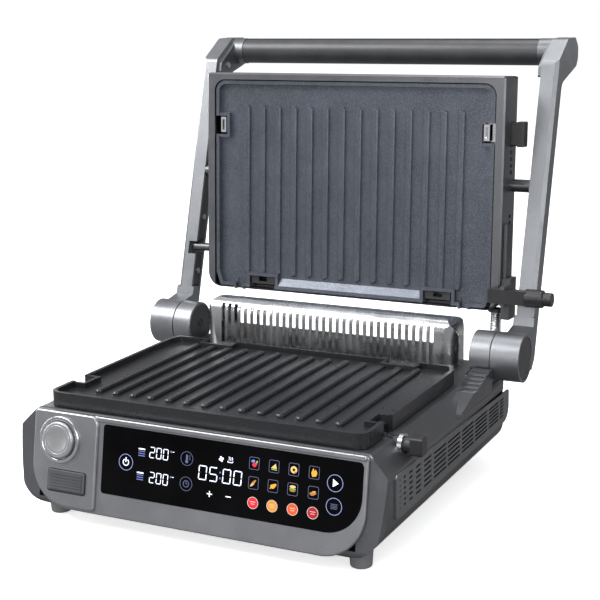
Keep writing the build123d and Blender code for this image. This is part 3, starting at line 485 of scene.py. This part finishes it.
# thermometer and timer rings
dim = Acc()
for (cx, cy) in ((-3.1, 59.1), (-2.7, 38.1)):
    dim.ring(circle(cx, cy, 5.9, 48), circle(cx, cy, 5.55, 48), F, GD0, GD1)
dim.prism(rrect(-3.9, -2.3, 56.8, 62.4, 0.75, 4), F, GD0, GD1)
dim.prism(circle(-3.1, 56.6, 1.35, 20), F, GD0, GD1)
for j in range(3):
    dim.prism(stroke((-1.3, 58.6 + j * 1.5), (0.3, 58.6 + j * 1.5), 0.4), F, GD0, GD1)
dim.ring(circle(-2.7, 38.1, 2.9, 30), circle(-2.7, 38.1, 2.4, 30), F, GD0, GD1)
dim.prism(stroke((-2.7, 38.1), (-2.7, 40.0), 0.45), F, GD0, GD1)
dim.prism(stroke((-2.7, 38.1), (-1.3, 38.1), 0.45), F, GD0, GD1)
# fan and steam marks
for k in range(4):
    ang = math.radians(90 * k + 20)
    cx, cy = 29.3 + 1.35 * math.cos(ang), 63.2 + 1.35 * math.sin(ang)
    white.prism(circle(cx, cy, 0.9, 14), F, GD0, GD1)
for k in range(3):
    x = 36.2 + k * 1.5
    white.prism(stroke((x, 63.0), (x + 0.5, 64.6), 0.4), F, GD0, GD1)
    white.prism(stroke((x + 0.5, 64.6), (x, 66.0), 0.4), F, GD0, GD1)
white.prism(stroke((35.4, 61.5), (40.0, 61.5), 0.5), F, GD0, GD1)
white.prism(stroke((35.4, 61.5), (35.4, 62.6), 0.45), F, GD0, GD1)
white.prism(stroke((40.0, 62.6), (40.0, 61.5), 0.45), F, GD0, GD1)
# plus and minus
white.prism(stroke((17.6, 33.0), (22.4, 33.0), 0.75), F, GD0, GD1)
white.prism(stroke((20.0, 30.6), (20.0, 32.62), 0.75), F, GD0, GD1)
white.prism(stroke((20.0, 33.38), (20.0, 35.4), 0.75), F, GD0, GD1)
white.prism(stroke((35.2, 33.2), (40.0, 33.2), 0.75), F, GD0, GD1)
# start mark and the ring below it
ringw.ring(circle(131.7, 58.1, 6.9, 56), circle(131.7, 58.1, 6.45, 56), F, GD0, GD1)
white.prism([(129.9, 55.0), (134.7, 58.1), (129.9, 61.2)], F, GD0, GD1)
ringw.ring(circle(131.9, 39.6, 6.9, 56), circle(131.9, 39.6, 6.45, 56), F, GD0, GD1)
for j in range(4):
    dim.prism(stroke((128.8 + 0.35 * (j % 2), 41.4 - j * 1.2), (135.0 - 0.5 * (j % 2), 41.4 - j * 1.2), 0.42), F, GD0, GD1)
# programme tiles
for cy, xs in ((63.8, (59.7, 77.6, 95.3, 113.2)), (47.9, (59.9, 77.6, 95.2, 113.5))):
    for cx in xs:
        dim.ring(rrect(cx - 4.6, cx + 4.6, cy - 5.1, cy + 5.1, 1.5, 5), rrect(cx - 4.25, cx + 4.25, cy - 4.75, cy + 4.75, 1.2, 5), F, GD0, GD1)
white.make("display_white", emissive("glow_white", (0.80, 0.85, 1.0), 1.9), "base")
blue.make("display_blue", emissive("glow_blue", (0.16, 0.21, 0.50), 0.8), "base")
ringw.make("display_rings", emissive("glow_ring", (0.30, 0.36, 0.66), 0.9), "base")
dim.make("display_dim", emissive("glow_dim", (0.16, 0.18, 0.34), 0.6), "base")

# food pictograms: small layered coloured shapes
food = {}


def fcol(key):
    if key not in food:
        food[key] = Acc()
    return food[key]


def blob(cx, cy, rx, ry, rot=0.0, n=20, wob=0.0):
    out = []
    for i in range(n):
        a_ = 2 * math.pi * i / n
        r = 1.0 + wob * math.sin(3 * a_ + 1.0)
        x, y = rx * r * math.cos(a_), ry * r * math.sin(a_)
        c, s = math.cos(rot), math.sin(rot)
        out.append((cx + x * c - y * s, cy + x * s + y * c))
    return out


fcol("red").prism(blob(60.2, 62.9, 2.5, 1.7, 0.6, wob=0.12), F, GD0, GD1)
fcol("blue").prism(blob(58.6, 65.6, 1.7, 1.1, 0.3), F, GD0, GD1)
fcol("green").prism(blob(62.0, 65.2, 1.1, 0.7, 1.0), F, GD0, GD1)
fcol("tan").prism([(74.9, 62.3), (80.2, 62.0), (79.0, 66.2)], F, GD0, GD1)
fcol("green").prism(stroke((75.4, 61.4), (80.2, 61.1), 0.7), F, GD0, GD1)
fcol("tan").ring(circle(95.3, 63.6, 2.9, 24), circle(95.3, 63.6, 1.2, 24), F, GD0, GD1)
fcol("brown").prism(blob(96.4, 61.8, 0.9, 0.6), F, GD0, GD1)
fcol("orange").prism([(111.7, 60.4), (115.0, 61.0), (115.9, 63.6), (114.4, 66.6), (113.4, 64.7), (112.3, 67.4), (110.7, 63.5)], F, GD0, GD1)
fcol("brown").prism(blob(60.0, 48.4, 3.0, 0.95, 0.75), F, GD0, GD1)
fcol("tan").prism(blob(59.0, 46.6, 2.6, 0.8, 0.75), F, GD0, GD1)
fcol("orange").prism(blob(77.9, 48.0, 2.8, 1.7, 0.5, wob=0.15), F, GD0, GD1)
fcol("tan").prism(stroke((75.0, 45.6), (76.2, 46.6), 0.8), F, GD0, GD1)
fcol("tan").prism(blob(95.2, 49.9, 2.7, 1.25), F, GD0, GD1)
fcol("green").prism(stroke((92.5, 48.0), (97.9, 48.0), 0.8), F, GD0, GD1)
fcol("brown").prism(blob(95.2, 46.6, 2.6, 0.7), F, GD0, GD1)
fcol("brown").prism(blob(113.0, 47.0, 2.9, 1.4, 0.15, wob=0.1), F, GD0, GD1)
fcol("orange").prism(blob(114.0, 48.6, 1.7, 0.6, 0.2), F, GD0, GD1)
PAL = {"red": (0.75, 0.03, 0.05), "blue": (0.16, 0.28, 0.75), "green": (0.25, 0.60, 0.10), "tan": (0.80, 0.55, 0.20), "brown": (0.50, 0.20, 0.06), "orange": (0.90, 0.42, 0.04)}
for k_, ac in food.items():
    ac.make("food_" + k_, emissive("food_glow_" + k_, PAL[k_], 0.9), "base")
# doneness discs, each with a paler rim
for (cx, cy, c, nm) in ((60.3, 31.7, (0.85, 0.02, 0.04), "a"), (77.8, 31.8, (0.95, 0.30, 0.02), "b"), (96.0, 31.9, (0.90, 0.10, 0.015), "c"), (113.9, 31.8, (0.42, 0.012, 0.018), "d")):
    ac = Acc()
    ac.prism(circle(cx, cy, 4.35, 40), F, GD0, GD1)
    ac.make("disc_" + nm, emissive("disc_glow_" + nm, c, 0.85), "base")
    ac = Acc()
    ac.ring(circle(cx, cy, 4.9, 40), circle(cx, cy, 4.5, 40), F, GD0, GD1)
    ac.prism(stroke((cx - 2.4, cy + 0.9), (cx + 2.4, cy + 0.9), 0.5), F, GD0 - 0.02, GD0 - 0.001)
    ac.prism(stroke((cx - 1.8, cy - 0.9), (cx + 1.8, cy - 0.9), 0.5), F, GD0 - 0.02, GD0 - 0.001)
    ac.make("disc_rim_" + nm, emissive("disc_rim_glow_" + nm, (0.75, 0.62, 0.60), 0.9), "base")

# ------------------------------------------------------------------ corrugated conduit between base and lid
CONDUIT = [(162.5, 281.8, 79.0), (162.5, 281.8, 89.0), (160.5, 298.0, 103.0), (156.5, 304.0, 119.0), (153.5, 313.5, 131.0), (153.5, 316.27, 142.6)]


def conduit():
    pts = [P(*q) for q in CONDUIT]
    cu = bpy.data.curves.new("conduit_path", "CURVE")
    cu.dimensions = "3D"
    sp = cu.splines.new("NURBS")
    sp.points.add(len(pts) - 1)
    for s_, p_ in zip(sp.points, pts):
        s_.co = (p_.x, p_.y, p_.z, 1)
    sp.order_u = 3
    sp.use_endpoint_u = True
    cu.resolution_u = 24
    tmp = bpy.data.objects.new("tmp_path", cu)
    bpy.context.scene.collection.objects.link(tmp)
    dg = bpy.context.evaluated_depsgraph_get()
    me = bpy.data.meshes.new_from_object(tmp.evaluated_get(dg))
    line = [v.co.copy() for v in me.vertices]
    bpy.data.objects.remove(tmp)
    bpy.data.meshes.remove(me)
    # resample evenly
    d = [0.0]
    for i in range(1, len(line)):
        d.append(d[-1] + (line[i] - line[i - 1]).length)
    total = d[-1]
    step = 0.00045
    n = int(total / step)
    pos = []
    j = 0
    for i in range(n + 1):
        s_ = total * i / n
        while j < len(d) - 2 and d[j + 1] < s_:
            j += 1
        f_ = (s_ - d[j]) / max(1e-9, d[j + 1] - d[j])
        pos.append(line[j].lerp(line[j + 1], f_))
    ns = 32
    verts, faces = [], []
    up = Vector((1, 0, 0))
    for i, c in enumerate(pos):
        tan = (pos[min(i + 1, n)] - pos[max(i - 1, 0)]).normalized()
        u = (up - tan * up.dot(tan)).normalized()
        v = tan.cross(u)
        s_ = total * i / n
        r = 0.0052 + 0.00034 * math.cos(2 * math.pi * s_ / 0.0027)
        for k in range(ns):
            a_ = 2 * math.pi * k / ns
            verts.append(c + (u * math.cos(a_) + v * math.sin(a_)) * r)
    for i in range(n):
        for k in range(ns):
            k2 = (k + 1) % ns
            faces.append((i * ns + k, i * ns + k2, (i + 1) * ns + k2, (i + 1) * ns + k))
    faces.append(tuple(range(ns - 1, -1, -1)))
    faces.append(tuple(n * ns + k for k in range(ns)))
    me = bpy.data.meshes.new("conduit_sleeve")
    me.from_pydata([tuple(v) for v in verts], [], faces)
    for p_ in me.polygons:
        p_.use_smooth = True
    me.materials.append(M["braid"])
    o = bpy.data.objects.new("conduit_sleeve", me)
    bpy.context.scene.collection.objects.link(o)
    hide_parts("wiring_conduit")
    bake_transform(o)
    return o


conduit()

# ------------------------------------------------------------------ bright noses on the rack notches
nose = Acc()
for i in range(5):
    y1, z1 = 229.0 - 7.8 * i, 102.2 - 1.8 * i
    for (ya, za, yb, zb) in ((y1 - 0.55, z1 - 1.8 if i < 4 else z1 - 3.0, y1 + 0.0, z1 - 0.0), ):
        pass
    lo_x = 163.0
    sec = [(y1 - 7.8 - 0.12, z1 - 0.75), (y1 - 7.8 + 0.25, z1 - 0.75), (y1 - 7.8 + 0.25, z1 + 0.12), (y1 - 7.8 - 0.12, z1 + 0.12)]
    v = [P(lo_x, a_, b_) for a_, b_ in sec] + [P(175.0, a_, b_) for a_, b_ in sec]
    nose.add(v, [(0, 3, 2, 1), (4, 5, 6, 7), (0, 1, 5, 4), (1, 2, 6, 5), (2, 3, 7, 6), (3, 0, 4, 7)])
    sec = [(y1 - 7.6, z1 - 0.3), (y1 - 0.1, z1 - 0.3), (y1 - 0.1, z1 + 0.12), (y1 - 7.6, z1 + 0.12)]
    v = [P(174.6, a_, b_) for a_, b_ in sec] + [P(175.3, a_, b_) for a_, b_ in sec]
    nose.add(v, [(0, 3, 2, 1), (4, 5, 6, 7), (0, 1, 5, 4), (1, 2, 6, 5), (2, 3, 7, 6), (3, 0, 4, 7)])
nose.make("rack_noses", M["chrome"], "base")


def tube_ring(acc, cx, ck, d, r, t, n=64, m=10):
    """thin round-section ring lying in the control face"""
    v, f = [], []
    for i in range(n):
        a_ = 2 * math.pi * i / n
        for j in range(m):
            b_ = 2 * math.pi * j / m
            rr_ = r + t * math.cos(b_)
            v.append(F(cx + rr_ * math.cos(a_), d + t * math.sin(b_), ck + rr_ * math.sin(a_)))
    for i in range(n):
        for j in range(m):
            f.append((i * m + j, i * m + (j + 1) % m, ((i + 1) % n) * m + (j + 1) % m, ((i + 1) % n) * m + j))
    acc.add(v, f)


rim = Acc()
tube_ring(rim, -129.2, 58.8, -10.35, 12.3, 0.55)
rim.make("button_rim", M["button"], "fan_push_button", True)
dark = Acc()
dark.ring(rrect(-140.2, -100.3, 13.1, 33.3, 2.6), rrect(-138.9, -101.6, 14.4, 32.0, 1.7), F, -5.95, -5.5)
dark.make("port_frame", M["black"], "base")

# ------------------------------------------------------------------ camera
AZ, EL, ROLL = math.radians(26.4722), math.radians(11.9474), math.radians(-0.9508)
CAM = P(555.28, -917.63, 448.56)


def look(az, el, roll):
    d = Vector((-math.sin(az) * math.cos(el), math.cos(az) * math.cos(el), -math.sin(el)))
    r = Vector((math.cos(az), math.sin(az), 0))
    u = Vector((-math.sin(az) * math.sin(el), math.cos(az) * math.sin(el), math.cos(el)))
    r2 = r * math.cos(roll) + u * math.sin(roll)
    u2 = -r * math.sin(roll) + u * math.cos(roll)
    return Matrix(((r2.x, u2.x, -d.x), (r2.y, u2.y, -d.y), (r2.z, u2.z, -d.z))).to_4x4()


cd = bpy.data.cameras.new("camera")
cam = bpy.data.objects.new("camera", cd)
bpy.context.scene.collection.objects.link(cam)
cam.matrix_world = Matrix.Translation(CAM) @ look(AZ, EL, ROLL)
cd.sensor_width = 36.0
cd.lens = 1349.07 / 600.0 * 36.0
cd.shift_x = -1.3 / 600.0
cd.shift_y = -22.26 / 600.0
cd.clip_end = 50
bpy.context.scene.camera = cam

# ------------------------------------------------------------------ floor and light
def floor():
    me = bpy.data.meshes.new("floor")
    s = 6.0
    me.from_pydata([(-s, -s, 0), (s, -s, 0), (s, s, 0), (-s, s, 0)], [], [(0, 1, 2, 3)])
    o = bpy.data.objects.new("floor", me)
    bpy.context.scene.collection.objects.link(o)
    t = NT("floor_paper")
    n = t.noise(8, 3.0, 0.5)
    lpath = t.n("ShaderNodeLightPath")
    cam_col = t.ramp(n, [(0.3, (0.93, 0.93, 0.93)), (0.8, (0.96, 0.96, 0.96))])
    # painted shade: every ray except the camera's sees this floor as dark grey (0.22), which darkens the floor's
    # reflections and bounce light on the appliance; the camera sees a near-white floor with a flat camera-only glow
    t.base(t.mixc((0.22, 0.22, 0.225), cam_col, lpath.outputs["Is Camera Ray"]))
    t.set(rough=0.9, spec=0.05)
    t.b.inputs["Emission Color"].default_value = (1, 1, 1, 1)
    q = t.n("ShaderNodeMath", operation="MULTIPLY")
    t.link(lpath.outputs["Is Camera Ray"], q.inputs[0])
    q.inputs[1].default_value = 0.62
    t.link(q.outputs[0], t.b.inputs["Emission Strength"])
    me.materials.append(t.m)


floor()


def area(name, loc, target, size, power, col=(1, 1, 1), size_y=None):
    ld = bpy.data.lights.new(name, "AREA")
    ld.energy = power
    ld.color = col
    ld.size = size
    if size_y:
        ld.shape = "RECTANGLE"
        ld.size_y = size_y
    o = bpy.data.objects.new(name, ld)
    bpy.context.scene.collection.objects.link(o)
    o.location = loc
    o.rotation_euler = (Vector(target) - Vector(loc)).to_track_quat("-Z", "Y").to_euler()
    return o


w = bpy.data.worlds.new("studio")
bpy.context.scene.world = w
w.use_nodes = True
wt = w.node_tree
wt.nodes.clear()
wo = wt.nodes.new("ShaderNodeOutputWorld")
mixw = wt.nodes.new("ShaderNodeMixShader")
lp_ = wt.nodes.new("ShaderNodeLightPath")
bw = wt.nodes.new("ShaderNodeBackground")
bw.inputs[0].default_value = (1, 1, 1, 1)
bw.inputs[1].default_value = 1.0
bg = wt.nodes.new("ShaderNodeBackground")
tc = wt.nodes.new("ShaderNodeTexCoord")
sp_ = wt.nodes.new("ShaderNodeSeparateXYZ")
wt.links.new(tc.outputs["Generated"], sp_.inputs[0])
rmp = wt.nodes.new("ShaderNodeValToRGB")
for e_, (p_, c_) in zip([rmp.color_ramp.elements[0], rmp.color_ramp.elements[1], rmp.color_ramp.elements.new(0.5), rmp.color_ramp.elements.new(0.62), rmp.color_ramp.elements.new(0.8)],
                        [(0.0, 0.85), (1.0, 0.85), (0.5, 0.58), (0.62, 0.26), (0.8, 0.34)]):
    e_.position = p_
    e_.color = (c_, c_, c_ * 1.02, 1)
mr = wt.nodes.new("ShaderNodeMapRange")
mr.inputs[1].default_value = -1.0
mr.inputs[2].default_value = 1.0
wt.links.new(sp_.outputs[2], mr.inputs[0])
wt.links.new(mr.outputs[0], rmp.inputs[0])
wt.links.new(rmp.outputs[0], bg.inputs[0])
bg.inputs[1].default_value = 1.0
wt.links.new(lp_.outputs["Is Camera Ray"], mixw.inputs[0])
wt.links.new(bg.outputs[0], mixw.inputs[1])
wt.links.new(bw.outputs[0], mixw.inputs[2])
wt.links.new(mixw.outputs[0], wo.inputs[0])
area("key", (-1.35, -1.1, 1.9), (0, 0, 0.15), 1.5, 60, size_y=1.1)
area("top", (0.1, 0.3, 1.9), (0, 0, 0.1), 1.1, 13, size_y=0.8)
area("front", (0.3, -2.0, 0.7), (0, 0, 0.12), 1.0, 16, size_y=0.5)
area("side", (2.0, -0.7, 0.8), (0, 0, 0.12), 0.6, 13, size_y=1.1)
area("left_low", (-1.9, -0.9, 0.55), (0, 0.05, 0.25), 0.35, 9, size_y=1.0)
area("back", (-1.6, 1.1, 0.5), (0, 0.1, 0.2), 0.6, 6, size_y=0.5)

sc = bpy.context.scene
sc.view_settings.view_transform = "Standard"
sc.view_settings.look = "None"
